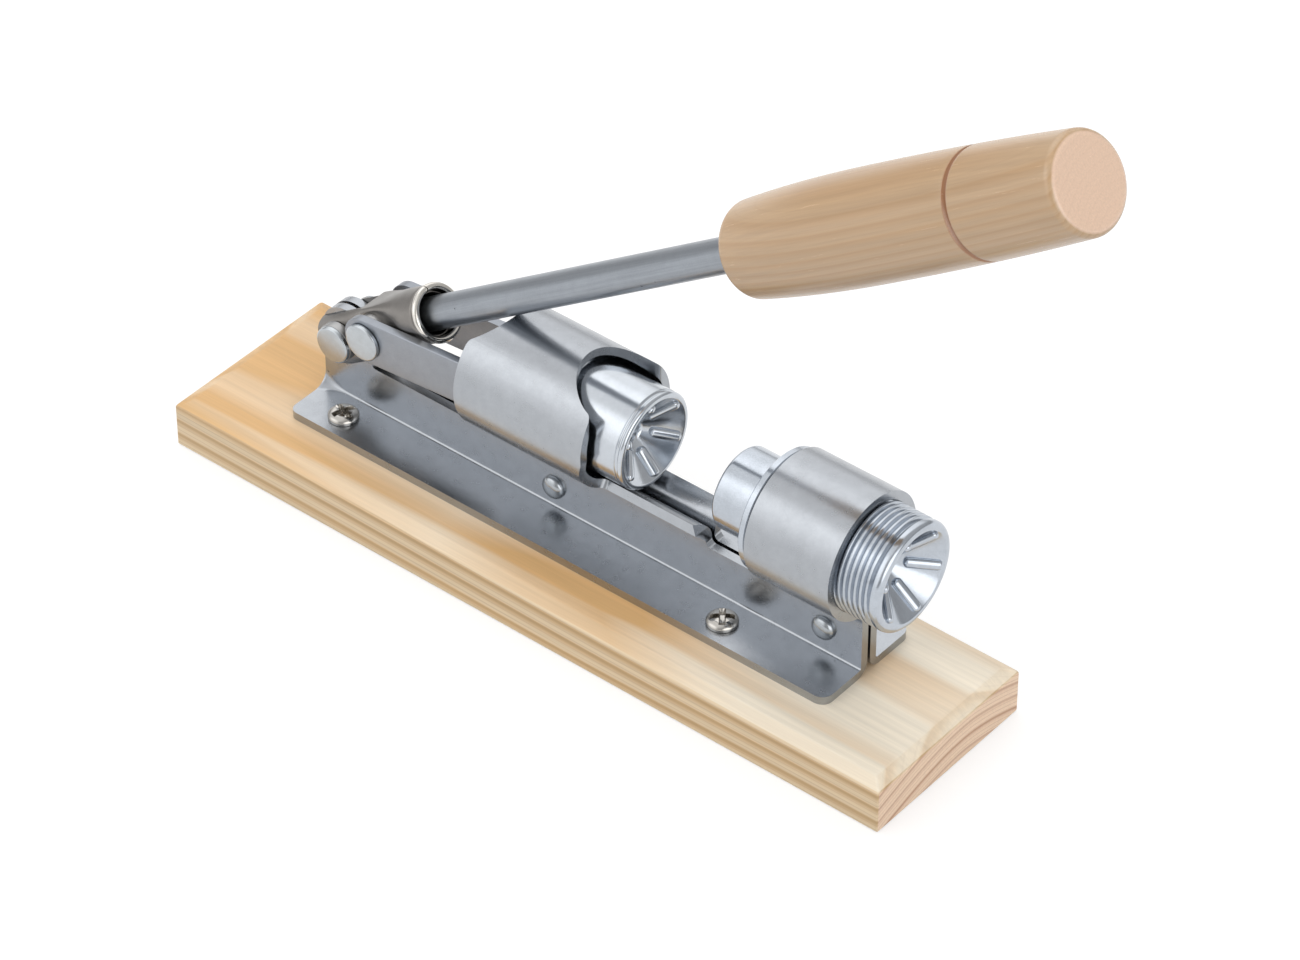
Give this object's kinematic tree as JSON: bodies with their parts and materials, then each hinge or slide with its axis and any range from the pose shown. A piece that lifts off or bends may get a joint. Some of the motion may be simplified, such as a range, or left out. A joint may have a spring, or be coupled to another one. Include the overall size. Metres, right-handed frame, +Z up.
{
  "type": "lever nutcracker press",
  "caption": "Lever nutcracker press: a pressed sheet frame on a wooden board, with a hand lever, side links, a ram sliding in a hood and an adjustable anvil screw.",
  "frame": {"origin": "centre of the board's underside", "axes": "+X along the board towards the anvil screw, +Y across the board, +Z up"},
  "size_m": [0.3272, 0.07, 0.2473],
  "materials": {
    "board_wood": "planed, clear lacquer",
    "handle_wood": "turned, clear lacquer",
    "frame_zinc": "satin zinc plate",
    "ram_zinc": "bright zinc plate on a casting",
    "anvil_zinc": "bright zinc plate on a casting",
    "link_zinc": "satin zinc plate",
    "yoke_nickel": "warm grey nickel plate",
    "sleeve_nickel": "bright nickel plate",
    "bar_steel": "drawn round bar, zinc plate",
    "rivet_zinc": "pale dull zinc",
    "washer_zinc": "dull zinc",
    "pin_steel": "plain steel",
    "screw_nickel": "nickel plate"
  },
  "bodies": {
    "base_frame": {"base_board": "board_wood", "press_frame": "frame_zinc", "near_rear_screw": "screw_nickel", "near_front_screw": "screw_nickel", "far_rear_screw": "screw_nickel", "far_front_screw": "screw_nickel", "rear_web_rivet": "rivet_zinc", "front_web_rivet": "rivet_zinc", "lever_pivot_rivet": "rivet_zinc", "near_pivot_washer": "washer_zinc", "far_pivot_washer": "washer_zinc"},
    "lever": {"lever_yoke": "yoke_nickel", "socket_sleeve": "sleeve_nickel", "lever_bar": "bar_steel", "handle": "handle_wood", "link_pivot_rivet": "rivet_zinc", "near_crank_washer": "washer_zinc", "far_crank_washer": "washer_zinc"},
    "links": {"near_link": "link_zinc", "far_link": "link_zinc"},
    "ram": {"ram": "ram_zinc", "ram_pin": "pin_steel"},
    "anvil": {"anvil_screw": "anvil_zinc"}
  },
  "joints": [
    {"name": "lever_swing", "type": "hinge", "parent": "base_frame", "child": "lever", "pos_m": [-0.0986, 0.004, 0.0453], "axis": [0, -1, 0], "range_deg": [0, 65]},
    {"name": "links_swing", "type": "hinge", "parent": "lever", "child": "links", "pos_m": [-0.08297, 0.004, 0.0561], "axis": [0, 1, 0], "range_deg": [0, 75]},
    {"name": "ram_slide", "type": "slide", "parent": "base_frame", "child": "ram", "axis": [-1, 0, 0], "range_m": [0, 0.018]},
    {"name": "anvil_slide", "type": "slide", "parent": "base_frame", "child": "anvil", "axis": [-1, 0, 0], "range_m": [0, 0.02]}
  ],
  "couplings": [
    {"joint": "links_swing", "follows": "lever_swing", "ratio": 1.15},
    {"joint": "ram_slide", "follows": "lever_swing", "m_per_rad": 0.0158}
  ]
}
